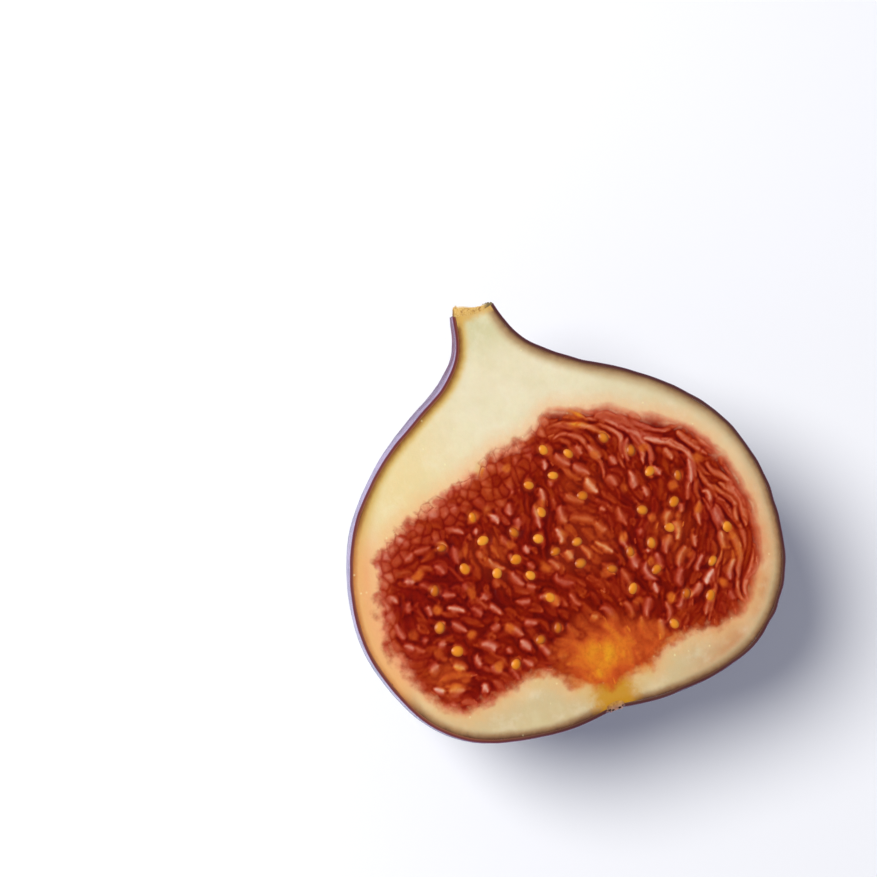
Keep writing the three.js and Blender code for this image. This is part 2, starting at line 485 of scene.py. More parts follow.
def finish_surface(tree, shader, color, height, depth):
    """Gives the shader its colour and a fine relief of that depth."""
    plug(tree, shader.inputs["Base Color"], color)
    bump = add_node(tree, "ShaderNodeBump", {"Height": height, "Distance": depth, "Strength": 1.0})
    plug(tree, shader.inputs["Normal"], bump.outputs["Normal"])


place = object_place(tree)
streaks = drawn_out(tree, "around", "along", 0.12)
neck_share = marked(tree, "neck")

# Bare skin under the bloom, redder on the neck.
bare = over(tree, noise(tree, streaks, 0.9, 4, 0.6), (38, 26, 40), (66, 40, 58))
plum = over(tree, noise(tree, streaks, 2.6, 3, 0.6), (70, 28, 52), (150, 74, 104))
bare = over(tree, times(tree, neck_share, 0.85), bare, plum)

# Bloom: large rubbed patches, streaks from stem to eye, and fine dust.
patches = noise(tree, place, 105, 4, 0.6, 0.6)
dust = noise(tree, place, 900, 3, 0.7)
lines = noise(tree, streaks, 1.1, 4, 0.65)
dusted = total(
    tree, times(tree, patches, 0.9), times(tree, lines, 0.5),
    times(tree, dust, 0.5), times(tree, marked(tree, "rib"), 0.10),
)
off_neck = worked_out(tree, "SUBTRACT", 1.0, times(tree, neck_share, 0.55))
cover = times(tree, eased(tree, dusted, 0.66, 1.28, 0.08, 0.92), off_neck)
bloom = over(tree, noise(tree, place, 260, 3, 0.6), (108, 116, 150), (140, 146, 180))

# The pale lip under the left rim, partly paler bloom and partly a painted sheen of the light grazing it
# from the left; pale pores, small dark scabs, and the cracks.
lip_bloom_and_sheen = eased(tree, noise(tree, place, 300, 4, 0.65), 0.3, 0.6, 0.35, 1.0)
lip_bloom_and_sheen = times(tree, marked(tree, "lip_bloom_and_sheen"), lip_bloom_and_sheen)
pore = eased(tree, noise(tree, place, 210, 1), 0.5, 0.62, 0, 0.55)
pore = times(tree, eased(tree, cells(tree, place, 520), 0.16, 0.05), pore)
scab = eased(tree, noise(tree, place, 75, 2), 0.58, 0.68)
scab = times(tree, eased(tree, cells(tree, place, 190), 0.20, 0.10), scab)
color = layered(
    tree, bare,
    (cover, bloom),
    (times(tree, lip_bloom_and_sheen, 0.9), (166, 148, 180)),
    (pore, (176, 178, 196)),
    (times(tree, scab, 0.85), (34, 24, 30)),
    (times(tree, marked(tree, "crack"), 0.9), (40, 24, 28)),
)

# Across the cut rim the colour runs from brown at the flesh through maroon to the skin's purple,
# redder on the left; it is darker on the right, and that darkness is painted shade.
outer_share = marked(tree, "outer")
shaded_right_rim = graded(
    tree, outer_share, (0.0, (106, 66, 44)), (0.35, (78, 36, 28)),
    (0.72, (72, 30, 32)), (0.93, (104, 62, 78)),
)
left_rim = graded(
    tree, outer_share, (0.0, (150, 88, 54)), (0.35, (116, 52, 40)),
    (0.72, (100, 38, 44)), (0.93, (140, 92, 116)),
)
rim = over(tree, marked(tree, "left"), shaded_right_rim, left_rim)
color = over(tree, eased(tree, outer_share, 0.90, 0.995), rim, color)
height = total(tree, times(tree, dust, 0.25), noise(tree, streaks, 5.0, 3, 0.6), times(tree, pore, 0.3))
finish_surface(tree, shader, color, height, 0.00012)
plug(tree, shader.inputs["Roughness"], eased(tree, cover, 0.0, 1.0, 0.40, 0.66))
shader.inputs["Sheen Weight"].default_value = 0.35
shader.inputs["Sheen Roughness"].default_value = 0.45
shader.inputs["Sheen Tint"].default_value = (0.72, 0.78, 1.0, 1)
shader.inputs["IOR"].default_value = 1.42
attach(peel, "root")
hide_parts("peel")


# ---- Pulp ---------------------------------------------------------------------------------------
# The wet red filling: hundreds of small soft sacs and threads packed together, cut across by the
# knife. The cut surface is a fine grid, raised where a sac bulges, and below it is a round bowl.

PULP_STEP = 0.13
COARSE = 0.5  # step of the wider grid that steers the sacs
PULP_MIDDLE = np.array((0.0, -3.0))
PULP_DEPTH = 17
# How far the pulp reaches from its middle, every 10 degrees from the right round by the stem.
WALL_REACH = (
    22.8, 22.6, 22.2, 21.3, 20.2, 19.3, 18.9, 18.4, 18.2, 15.9, 15.7, 16.2,
    15.8, 16.9, 18.9, 21.6, 23.2, 24.0, 24.2, 24.1, 23.6, 22.4, 17.4, 13.4,
    13.0, 14.1, 14.8, 14.9, 14.9, 14.7, 14.4, 15.5, 19.4, 21.5, 22.4, 22.9,
)


def wall_reach(turn):
    """From the middle of the pulp to its wall, with small scallops."""
    reach = through(WALL_REACH, np.degrees(turn) % 360 / 10, closed=True)
    x, y = 30 + reach * np.cos(turn), 30 + reach * np.sin(turn)
    return reach + 0.42 * cloud(x, y, 2.4, 51) + 0.16 * cloud(x, y, 0.9, 52)


def polar(reach, turn):
    return PULP_MIDDLE + np.stack([reach * np.cos(turn), reach * np.sin(turn)], -1)


def from_middle(x, y):
    """Distance and direction from the middle of the pulp."""
    x, y = x - PULP_MIDDLE[0], y - PULP_MIDDLE[1]
    return np.hypot(x, y), np.arctan2(y, x)


def in_slices(count):
    """Slices of a long list, so that comparing it with another doesn't fill the memory."""
    return [slice(start, start + 4000) for start in range(0, count, 4000)]


def nearest(x, y, line):
    """Distance from points to the nearest point of a line."""
    found = np.empty(len(x))
    for part in in_slices(len(x)):
        found[part] = ((x[part, None] - line[:, 0]) ** 2 + (y[part, None] - line[:, 1]) ** 2).min(1)
    return np.sqrt(found)


fine_share = np.linspace(0, 1, 800)
outline = np.r_[edge_at(RIGHT_EDGE, fine_share), edge_at(LEFT_EDGE, fine_share)[::-1]]
wall_turns = np.linspace(-math.pi, math.pi, 1081)
wall_line = polar(wall_reach(wall_turns), wall_turns)


def wall_depth(x, y):
    """Distance inside the pulp's wall, less than nothing outside it."""
    away, turn = from_middle(x, y)
    return nearest(x, y, wall_line) * np.where(away < wall_reach(turn), 1, -1)


def knife_marks(x, y):
    """The slight unevenness that the knife left on the cut face, in mm."""
    strokes = 0.02 * cloud(x * 0.3 + 60, y + x * 0.1 + 60, 2.6, 91)
    return strokes + 0.03 * cloud(x + 50, y + 50, 5.5, 93) - 0.05


rough_x, rough_y = np.arange(-28, 28.1, COARSE), np.arange(-24, 20.1, COARSE)
wide_x, wide_y = np.meshgrid(rough_x, rough_y)
depth_map = wall_depth(wide_x.ravel(), wide_y.ravel()).reshape(wide_x.shape)


def smoothed(field, times_over):
    for _ in range(times_over):
        wide = np.pad(field, 1, mode="edge")
        field = (2 * field + wide[:-2, 1:-1] + wide[2:, 1:-1] + wide[1:-1, :-2] + wide[1:-1, 2:]) / 6
    return field


def read(field, x, y, columns=rough_x, rows=rough_y):
    """A field's value between its grid points."""
    step = columns[1] - columns[0]
    u = np.clip((x - columns[0]) / step, 0, len(columns) - 1.001)
    v = np.clip((y - rows[0]) / step, 0, len(rows) - 1.001)
    col, row = u.astype(int), v.astype(int)
    return between_corners(field, col, row, u - col, v - row)


# Which way the sacs lie: leaning one way on the left and the other on the right, and along the wall
# in the stringy belt on the right.
in_y, in_x = np.gradient(smoothed(depth_map, 12), COARSE)
bearing = np.degrees(from_middle(wide_x, wide_y)[1])
stringy = ease(-34, -12, bearing) * (1 - ease(72, 88, bearing))
along_wall = np.arctan2(in_x, -in_y) - 1.1 * ease(1.4, 4.8, depth_map) * ease(-5, 35, bearing)
along_wall = along_wall + 0.45 * cloud(wide_x + 64, wide_y + 64, 4.4, 9)
lean = np.radians(np.interp(wide_x, (-24, -6, 4, 12, 24), (134, 128, 106, 62, 66)))
lean = lean + 0.75 * cloud(wide_x + 40, wide_y + 40, 4.8, 7)
lean = lean + (0.5 + 0.5 * ease(0, -8, wide_x)) * cloud(wide_x + 40, wide_y + 40, 2.2, 17)
by_wall = stringy * (1 - ease(3.6, 6.0, depth_map))
lie_cos = np.cos(2 * lean) * (1 - by_wall) + np.cos(2 * along_wall) * by_wall
lie_sin = np.sin(2 * lean) * (1 - by_wall) + np.sin(2 * along_wall) * by_wall


def lie(x, y):
    return 0.5 * np.arctan2(read(lie_sin, x, y), read(lie_cos, x, y))


def turned_on(heading, go_x, go_y):
    """The heading as a step, taken whichever way carries on from the last step."""
    turn_x, turn_y = np.cos(heading), np.sin(heading)
    keep = np.where(turn_x * go_x + turn_y * go_y < 0, -1, 1)
    return turn_x * keep, turn_y * keep


grid_x, grid_y = np.arange(-26.5, 25.5, PULP_STEP), np.arange(-20.5, 17.5, PULP_STEP)
at_x, at_y = np.meshgrid(grid_x, grid_y)


def patchy(size, seed, right=40, up=40):
    """A smooth random field over the pulp, read that far to the right and up."""
    return cloud(at_x + right, at_y + up, size, seed)


bent_x = at_x + 0.24 * patchy(1.5, 21) + 0.06 * patchy(0.6, 22)
bent_y = at_y + 0.24 * patchy(1.5, 23) + 0.06 * patchy(0.6, 24)
grit = np.random.default_rng(3).uniform(-1, 1, (400, 500))


def threads(size, length, steps):
    """Fine random grit drawn out along the way the sacs lie."""
    def grit_at(x, y):
        u, v = (x + 30) / size, (y + 30) / size
        col, row = u.astype(int), v.astype(int)
        return between_corners(grit, col, row, u - col, v - row)
    drawn = grit_at(at_x, at_y)
    for way in (1, -1):
        x, y = at_x, at_y
        heading = lie(x, y)
        go_x, go_y = np.cos(heading) * way, np.sin(heading) * way
        for _ in range(steps):
            x, y = x + go_x * length / steps, y + go_y * length / steps
            go_x, go_y = turned_on(lie(x, y), go_x, go_y)
            drawn = drawn + grit_at(x, y)
    return drawn / drawn.std()


broad_threads, fine_threads = threads(0.75, 1.6, 8), threads(0.3, 1.1, 7)
how_deep = read(depth_map, at_x, at_y)
near_wall = 1 - ease(-0.5, 4.0, how_deep + 1.2 * patchy(2.6, 6, 30, 30))
tone = 0.13 + 0.06 * broad_threads + 0.04 * fine_threads + 0.08 * patchy(2.6, 5, 30, 30)
tone += 0.1 * near_wall
rosy = np.clip(0.18 - 0.5 * patchy(8, 15, 70, 30) + 0.5 * near_wall - 0.02 * at_x, 0, 1)
relief = 0.10 * broad_threads + 0.05 * fine_threads
dice = np.random.default_rng(11)
between = dice.uniform
LINE_STEP = 0.14


def sac_line(x, y, length, curl):
    """The middle line of a sac, following the way it lies from its middle both ways."""
    count = max(3, int(length / 2 / LINE_STEP))
    line = [(x, y)]
    for way in (1, -1):
        heading = lie(np.array([x]), np.array([y]))[0]
        go_x, go_y = np.cos(heading) * way, np.sin(heading) * way
        at, half_line = (x, y), []
        for step in range(count):
            at = (at[0] + go_x * LINE_STEP, at[1] + go_y * LINE_STEP)
            heading = lie(np.array([at[0]]), np.array([at[1]]))[0] + curl * step / count * way
            go_x, go_y = turned_on(heading, go_x, go_y)
            half_line.append(at)
        line = line + half_line if way == 1 else half_line[::-1] + line
    return np.array(line)


def lay_sac(line, width, taper, light, cover, tint, bulge, blur=0.6, shade=0.12, lopsided=1.0):
    """Lays one sac over the pulp: its lightness with a painted highlight along its crown, its tint and
    bulge, and a dark line round it that is painted shade in a groove.
    """
    room = 2.2 * width + 0.4
    cols = slice(*np.searchsorted(grid_x, (line[:, 0].min() - room, line[:, 0].max() + room)))
    rows = slice(*np.searchsorted(grid_y, (line[:, 1].min() - room, line[:, 1].max() + room)))
    part = (rows, cols)
    x, y = bent_x[part], bent_y[part]
    if not x.size:
        return
    gap = (x.reshape(-1, 1) - line[:, 0]) ** 2 + (y.reshape(-1, 1) - line[:, 1]) ** 2
    closest = gap.argmin(1)
    off = np.sqrt(gap[np.arange(len(closest)), closest]).reshape(x.shape)
    share = (closest / (len(line) - 1)).reshape(x.shape)
    lumps = 1 + 0.12 * np.interp(share, np.linspace(0, 1, 6), dice.normal(0, 1, 6))
    wide = width * lumps * (0.22 + 0.78 * np.clip(np.sin(math.pi * share ** lopsided), 0, 1) ** taper)
    across_sac = off / wide
    laid = cover * (1 - ease(1 - blur, 1 + blur, across_sac))
    # Each sac is painted lighter along its crown, a painted highlight; the same profile shapes its bulge.
    crown_and_highlight = np.exp(-(across_sac ** 2))
    # The dark line round each sac is painted shade, laid in a shallow groove between sacs.
    ring = cover * shade * np.exp(-(((off - wide * (1.05 + 0.5 * blur)) / 0.14) ** 2))
    patch = light * (0.5 + 0.5 * crown_and_highlight) + 0.04 * fine_threads[part]
    tone[part] = tone[part] * (1 - laid) + laid * patch - ring
    rosy[part] = rosy[part] * (1 - laid) + laid * tint
    relief[part] = relief[part] * (1 - laid) + laid * bulge * crown_and_highlight - 0.8 * ring


def scatter(gap, tries, wanted):
    """Random spots in the pulp no closer than gap, each with its depth inside the wall."""
    kept, near = [], {}
    tried = np.c_[between(-25, 24, tries), between(-19, 16, tries)]
    for (x, y), depth in zip(tried, read(depth_map, tried[:, 0], tried[:, 1])):
        if not wanted(x, y, depth):
            continue
        col, row = int(x // gap), int(y // gap)
        boxes = [(col + i, row + j) for i in (-1, 0, 1) for j in (-1, 0, 1)]
        close = [spot for box in boxes for spot in near.get(box, ())]
        if any((x - a) ** 2 + (y - b) ** 2 < gap * gap for a, b in close):
            continue
        near.setdefault((col, row), []).append((x, y))
        kept.append((x, y, depth))
    return kept


def stringy_at(x, y):
    return read(stringy, np.array([x]), np.array([y]))[0]


# Deep dim sacs everywhere, blurred by the juice over them.
for x, y, depth in scatter(1.2, 6000, lambda x, y, depth: depth > 0.3):
    line = sac_line(x, y, between(1.4, 3.8), dice.normal(0, 0.5))
    light = 0.02 if dice.random() < 0.36 else between(0.22, 0.5)
    lay_sac(line, between(0.38, 0.7), between(0.35, 0.8), light, between(0.5, 0.9),
            between(0, 0.7), between(0.2, 0.5), blur=between(0.6, 0.95), shade=0.05)

# Middling sacs, most of them short.
for x, y, depth in scatter(1.5, 6000, lambda x, y, depth: depth > 0.8 + 2.6 * stringy_at(x, y)):
    line = sac_line(x, y, between(1.0, 3.2), dice.normal(0, 0.6))
    lay_sac(line, between(0.3, 0.52), between(0.3, 0.7), between(0.32, 0.62), between(0.55, 0.9),
            between(0.2, 0.9), between(0.3, 0.7), blur=between(0.45, 0.8), shade=0.12,
            lopsided=between(0.6, 1.6))
    if dice.random() < 0.3:
        lay_sac(line[2:-2], 0.2, 0.3, 0.2, 0.6, 0.3, 0.1, blur=0.8, shade=0.0)


def in_stringy_belt(x, y, depth):
    return -0.7 < depth < 4.6 and stringy_at(x, y) > 0.1 + 0.8 * dice.random()


# Long smooth strings by the right wall, sweeping round with it and then turning in.
for x, y, depth in scatter(1.3, 7000, in_stringy_belt):
    if dice.random() < 0.1 * max(depth, 0):
        continue
    line = sac_line(x, y, between(4.5, 10.0), dice.normal(0, 0.3))
    lay_sac(line, between(0.32, 0.5), 0.45, between(0.5, 0.96), between(0.75, 0.95),
            between(0.3, 0.85), between(0.4, 0.8), blur=between(0.4, 0.6), shade=0.24)

# Thin threads, dark and pale, curling between the sacs.
for x, y, depth in scatter(1.4, 6000, lambda x, y, depth: depth > 0.2):
    pale = dice.random() < 0.4
    line = sac_line(x, y, between(1.5, 4.5), dice.normal(0, 1.3))
    lay_sac(line, between(0.09, 0.15), 0.3, between(0.5, 0.7) if pale else 0.0,
            between(0.3, 0.6), between(0.3, 0.9), 0.3 if pale else 0.0, blur=0.9, shade=0.0)

# Bright plump sacs, well apart, each a pale core in a dimmer skin.
for x, y, depth in scatter(2.0, 6000, lambda x, y, depth: depth > 1.2 + 2.6 * stringy_at(x, y)):
    if dice.random() < 0.1:
        continue
    line = sac_line(x, y, between(1.0, 3.4 - 0.8 * ease(0, -10, x)), dice.normal(0, 0.9))
    wide = between(0.38, 0.6 + 0.08 * ease(0, -10, x))
    taper = between(0.25, 0.55)
    tint = np.clip(dice.normal(1.0 - 0.01 * x, 0.2), 0.3, 1.1)
    lay_sac(line, 1.15 * wide, taper, 0.45, 0.7, tint, 0.4, blur=0.7, shade=0.16)
    light = np.clip(dice.normal(0.86 + 0.003 * x, 0.14), 0.6, 1.15)
    lay_sac(line[1:-1], 0.8 * wide, taper, light, between(0.65, 0.95), tint,
            between(0.6, 1.0), blur=0.95, shade=0.0, lopsided=between(0.7, 1.4))

# A belt of small round cells packed inside the wall on the left and below the stem, thinning out
# round the rest.
turn = np.degrees(from_middle(at_x, at_y)[1]) % 360
belt_depth = np.interp(
    turn, (80, 95, 115, 140, 160, 178, 195, 360), (2.2, 4.2, 5.0, 4.4, 2.6, 0.8, 0.2, 0.1),
) + 0.9 * patchy(2.0, 44, 30, 30)
belt = ease(0.4, -0.4, how_deep - belt_depth) * ease(-1.0, -0.6, how_deep)
belt *= ease(0.7, 0.3, read(stringy, at_x, at_y))
in_belt = belt > 0.01
SQUEEZE = 1.15  # the cells are a little narrower than they are tall
centres = np.array([(x, y) for x, y, depth in scatter(0.9, 12000, lambda x, y, depth: -1.5 < depth < 6)])
spread_x = SQUEEZE * (bent_x + 0.18 * patchy(1.1, 45))[in_belt]
spread_y = (bent_y + 0.18 * patchy(1.1, 46))[in_belt]
near_one, near_two = np.empty(len(spread_x)), np.empty(len(spread_x))
nearest_cell = np.empty(len(spread_x), int)
for part in in_slices(len(spread_x)):
    gap = np.hypot(spread_x[part, None] - SQUEEZE * centres[:, 0], spread_y[part, None] - centres[:, 1])
    near_one[part], near_two[part] = np.partition(gap, 1, axis=1)[:, :2].T
    nearest_cell[part] = gap.argmin(1)
cell_light = np.random.default_rng(19).uniform(0.26, 0.72, len(centres))[nearest_cell]
membrane = np.exp(-(((near_two - near_one) / 0.2) ** 2))
lit_by_wall = 0.28 * ease(2.6, -0.2, how_deep[in_belt])
# Each cell is painted lighter in its middle: a painted highlight on its crown.
cell_highlight = 0.72 + 0.28 * np.exp(-((near_one / 0.4) ** 2))
cell_tone = (cell_light + lit_by_wall) * cell_highlight - 0.26 * membrane
share = belt[in_belt] * (0.75 + 0.25 * patchy(1.6, 47)[in_belt])
tone[in_belt] = tone[in_belt] * (1 - share) + share * cell_tone
rosy[in_belt] = rosy[in_belt] * (1 - 0.6 * share) + 0.6 * share * 0.75
relief[in_belt] = relief[in_belt] * (1 - share) + share * 0.6 * (1 - membrane)
veins = np.zeros(tone.shape)
veins[in_belt] = share * membrane * ease(1.0, 2.6, belt_depth[in_belt])

# The hollow behind the eye, full of honey-coloured juice, and stains of it elsewhere: where each
# is, how wide and how strong.
STAINS = (
    (-18.6, -9.6, 1.9, 0.75), (6.0, 13.2, 1.1, 0.9), (-7.2, 11.4, 0.8, 0.9), (2.0, -1.0, 4.0, 0.4),
    (-9.0, 1.5, 3.0, 0.3), (12.5, -3.0, 3.0, 0.4), (18.0, -7.5, 2.0, 0.45), (3.0, 5.5, 3.0, 0.25),
)
hollow = np.hypot((at_x + 0.4) / 1.5, at_y + 14.8) + 1.5 * patchy(1.8, 62)
hollow_share = ease(6.2, 2.8, hollow)
honey_spot = ease(3.3, 0.6, np.hypot((at_x + 0.6) / 1.2, at_y + 14.2) + 0.9 * patchy(1.4, 64, 80))
honey_tone = 0.22 + 0.08 * broad_threads + 0.10 * patchy(1.5, 65, 20, 20)
honey_tone = honey_tone * (1 - honey_spot) + 0.85 * honey_spot
tone = tone * (1 - 0.8 * hollow_share) + 0.8 * hollow_share * honey_tone
relief = relief * (1 - 0.6 * hollow_share)
glow = hollow_share
for x, y, wide, strong in STAINS:
    off = np.hypot(at_x - x, (at_y - y) / 1.15) + 0.5 * wide * patchy(0.8 * wide, 66, 50, 50)
    glow = np.maximum(glow, strong * ease(1.2 * wide, 0.35 * wide, off))

# Seeds still buried in the pulp shine through as dim amber spots.
for x, y, depth in scatter(4.0, 500, lambda x, y, depth: depth > 2.0):
    dim = (1 - ease(0.25, 0.85, np.hypot(bent_x - x, bent_y - y))) * between(0.4, 0.85)
    glow = np.maximum(glow, dim)
    tone = tone * (1 - dim) + dim * between(0.35, 0.6)

# The bare seeds push the pulp aside, each in a small dark socket.
seed_spots = []
for name in sorted(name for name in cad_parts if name.startswith("seed_")):
    low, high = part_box(name)
    middle = ((low + high) / 2 - BELLY) / MM
    corners = np.array([v.co[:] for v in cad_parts[name].data.vertices])[:, :2]
    ways = np.linalg.eigh(np.cov((corners - corners.mean(0)).T))[1]
    seed_spots.append((name, middle, math.atan2(ways[1, 1], ways[0, 1])))
socket = np.zeros(tone.shape)
for name, middle, turn in seed_spots:
    off = np.hypot(at_x - middle.x, at_y - middle.y)
    socket = np.maximum(socket, np.exp(-((off / 0.9) ** 2)))
    tone = tone - 0.14 * np.exp(-(((off - 0.95) / 0.4) ** 2))
    glow = np.maximum(glow, 0.5 * (1 - ease(0.5, 1.0, off)))
tone = tone + near_wall * (0.18 - 0.2 * tone) * (1 - hollow_share)
tone, relief = smoothed(tone, 1), smoothed(relief, 2)
tone = tone + 0.6 * (tone - smoothed(tone, 6))

# Here and there a short wet thread is painted pale: painted glints where it would catch the light.
for x, y, depth in scatter(2.4, 1500, lambda x, y, depth: 0.2 < depth and (x > -2 or y < -11)):
    line = sac_line(x, y, between(0.3, 0.9), dice.normal(0, 1.5))
    lay_sac(line, 0.13, 0.3, between(0.8, 1.2), between(0.2, 0.7), 0.4, 0.6, blur=0.7, shade=0.0)
fields = {"tone": tone, "rosy": rosy, "glow": glow, "vein": veins}


def turn_up(bm, faces):
    """Turns all the bmesh's faces round if these ones, which should face up, face down."""
    if sum(face.normal.z for face in faces) < 0:
        bmesh.ops.reverse_faces(bm, faces=bm.faces[:])


# The grid itself, trimmed just beyond the wall so that its edge is tucked under the flesh.
TUCK = 0.26
SAC_RISE, SINK, SOCKET_DEPTH = 0.15, 0.12, 0.12  # the pulp lies a little lower than the flesh
bm = bmesh.new()
bmesh.ops.create_grid(bm, x_segments=len(grid_x) - 1, y_segments=len(grid_y) - 1, size=1)
half_x, half_y = (grid_x[-1] - grid_x[0]) / 2, (grid_y[-1] - grid_y[0]) / 2
mid_x, mid_y = (grid_x[-1] + grid_x[0]) / 2, (grid_y[-1] + grid_y[0]) / 2
for vert in bm.verts:
    vert.co = (mid_x + vert.co.x * half_x, mid_y + vert.co.y * half_y, 0)
flat = verts_of(bm)
away, turn = from_middle(flat[:, 0], flat[:, 1])
beyond = away > wall_reach(turn) + TUCK
bmesh.ops.delete(bm, geom=[v for v, out in zip(bm.verts, beyond) if out], context="VERTS")
loose = [v for v in bm.verts if len(v.link_faces) < 2]
bmesh.ops.delete(bm, geom=loose, context="VERTS")
edge_loop = sharp_boundary(bm)
top_verts = bm.verts[:]
bm.normal_update()
turn_up(bm, bm.faces)

# Below the cut: a step in from the wall, then down round the bowl.
UNDERSIDE_RINGS = 8
STEP_IN, STEP_DOWN = 0.1, 0.15
for ring in range(UNDERSIDE_RINGS + 1):
    grown = bmesh.ops.extrude_edge_only(bm, edges=edge_loop)["geom"]
    edge_loop = [g for g in grown if isinstance(g, bmesh.types.BMEdge)]
    ring_verts = [g for g in grown if isinstance(g, bmesh.types.BMVert)]
    flat = np.array([v.co[:2] for v in ring_verts])
    away, turn = from_middle(flat[:, 0], flat[:, 1])
    dip = ring / (UNDERSIDE_RINGS + 1) * math.pi / 2
    for vert, spot in zip(ring_verts, polar((wall_reach(turn) - STEP_IN) * math.cos(dip), turn)):
        vert.co = (spot[0], spot[1], -STEP_DOWN - (PULP_DEPTH - STEP_DOWN) * math.sin(dip))
bmesh.ops.pointmerge(bm, verts=ring_verts, merge_co=(PULP_MIDDLE[0], PULP_MIDDLE[1], -PULP_DEPTH))
bm.verts.index_update()
on_top = np.zeros(len(bm.verts), bool)
on_top[[v.index for v in top_verts]] = True
pulp_material, tree, shader = new_material("fig pulp", 0.34)
pulp = finished("pulp_filling", bm, pulp_material)


def spots_of(mesh):
    flat = np.empty(len(mesh.vertices) * 3)
    mesh.vertices.foreach_get("co", flat)
    return flat.reshape(-1, 3)


spots = spots_of(pulp.data)
x, y = spots[:, 0], spots[:, 1]
wall = read(depth_map, x, y)
swell = SAC_RISE * read(relief, x, y, grid_x, grid_y) - SINK
swell = swell - SOCKET_DEPTH * read(socket, x, y, grid_x, grid_y)
away, turn = from_middle(x, y)
tucked = 0.02 * ease(0.1, -TUCK, wall_reach(turn) - away)
spots[:, 2] = np.where(on_top, knife_marks(x, y) + ease(0.0, 1.6, wall) * swell - tucked, spots[:, 2])
put_down(pulp.data, spots)


def mark_cut(mesh, x, y):
    """Writes on the cut face what its colours follow: how far the peel and wall are, and the sacs."""
    mark(mesh, "rind", nearest(x, y, outline) - PEEL_THICK)
    mark(mesh, "wall", wall_depth(x, y))
    for name, field in fields.items():
        mark(mesh, name, read(field, x, y, grid_x, grid_y))


mark_cut(pulp.data, x, y)

# The colours of the whole cut face, from the peel in to the middle, shared by the pulp and the flesh.
MARKS = ("Rind", "Wall", "Tone", "Rosy", "Glow", "Vein")
cut = bpy.data.node_groups.new("cut face", "ShaderNodeTree")
cut.interface.new_socket("Place", in_out="INPUT", socket_type="NodeSocketVector")
for name in MARKS:
    cut.interface.new_socket(name, in_out="INPUT", socket_type="NodeSocketFloat")
for name, kind in (("Color", "NodeSocketColor"), ("Height", "NodeSocketFloat")):
    cut.interface.new_socket(name, in_out="OUTPUT", socket_type=kind)
given = cut.nodes.new("NodeGroupInput").outputs
spot = add_node(cut, "ShaderNodeVectorMath", {0: given["Place"], 1: tuple(BELLY)}, operation="SUBTRACT")
spot = add_node(cut, "ShaderNodeVectorMath", {0: spot.outputs[0], "Scale": 1 / MM}, operation="SCALE")
spot = spot.outputs[0]
axes = add_node(cut, "ShaderNodeSeparateXYZ", {0: spot}).outputs
x_mm, y_mm = axes["X"], axes["Y"]
blotch = noise(cut, spot, 0.22, 3, 0.6)
fleck = noise(cut, spot, 1.3, 4, 0.65)


def scaled(tree, value, size, start=0.0):
    return worked_out(tree, "MULTIPLY_ADD", value, size, start)


# Cream, greener at the stem, darker low down and warmer on the right.
east = total(cut, x_mm, scaled(cut, y_mm, 0.15))
southeast = total(cut, scaled(cut, x_mm, 0.8), scaled(cut, y_mm, -0.6))
west = times(cut, eased(cut, x_mm, -5, -17, 0, 0.8), eased(cut, y_mm, -16, -6))
mottle = noise(cut, spot, 0.3, 4, 0.65)
cream = layered(
    cut, (206, 184, 138),
    (eased(cut, y_mm, -20, 8), (230, 217, 178)),
    (eased(cut, y_mm, 10, 18), (228, 217, 182)),
    (eased(cut, east, 9, 22, 0, 0.8), (214, 196, 152)),
    (eased(cut, southeast, 16, 24, 0, 0.9), (196, 134, 88)),
    (eased(cut, y_mm, 22, 28, 0, 0.85), (204, 198, 150)),
    (west, (230, 206, 146)),
    (eased(cut, blotch, 0.45, 0.7, 0, 0.3), (234, 226, 186)),
    (eased(cut, mottle, 0.46, 0.7, 0, 0.2), (204, 194, 142)),
    (eased(cut, mottle, 0.5, 0.3, 0, 0.2), (244, 238, 212)),
)

# Beside the peel: amber on the left, brown on the right and below, partly the flesh's own browning and
# partly painted shade.
ragged = total(cut, given["Rind"], scaled(cut, fleck, 0.3, -0.15), scaled(cut, blotch, 0.4, -0.2))
rind_mm = worked_out(cut, "MAXIMUM", ragged, scaled(cut, given["Rind"], 0.7))
left_rind = graded(
    cut, scaled(cut, rind_mm, 0.25), (0.0, (190, 116, 62)), (0.06, (212, 148, 86)),
    (0.16, (226, 172, 108)), (0.40, (228, 168, 112)), (0.95, (232, 196, 142)),
)
high_rind = graded(
    cut, scaled(cut, rind_mm, 0.4), (0.0, (128, 82, 42)), (0.10, (166, 120, 58)),
    (0.24, (206, 172, 98)), (0.45, (222, 198, 134)), (0.8, (230, 214, 168)),
)
paler_above = total(cut, rind_mm, eased(cut, y_mm, -8, 2, 0, 0.18))
browned_and_shaded_rind = graded(
    cut, scaled(cut, paler_above, 0.4), (0.0, (84, 52, 38)), (0.08, (118, 84, 58)),
    (0.20, (160, 128, 90)), (0.40, (196, 172, 130)), (0.8, (216, 198, 156)),
)
on_left = eased(cut, total(cut, scaled(cut, x_mm, -1), scaled(cut, y_mm, 0.6)), 15.5, 19.5)
low_left = total(cut, y_mm, scaled(cut, x_mm, 0.4))
left_rind = over(cut, eased(cut, low_left, -6, 4), left_rind, high_rind)
rind_color = over(cut, on_left, browned_and_shaded_rind, left_rind)
left_reach = eased(cut, low_left, -4, 6, 4.4, 1.5, "LINEAR")
right_reach = eased(cut, total(cut, x_mm, scaled(cut, y_mm, 0.3)), 0, 18, 1.3, 2.0, "LINEAR")
rind_reach = add_node(
    cut, "ShaderNodeMix", {0: on_left, 2: right_reach, 3: left_reach}, data_type="FLOAT",
).outputs[0]
rind_cover = eased(cut, worked_out(cut, "DIVIDE", rind_mm, rind_reach), 0.35, 1.0, 1, 0)

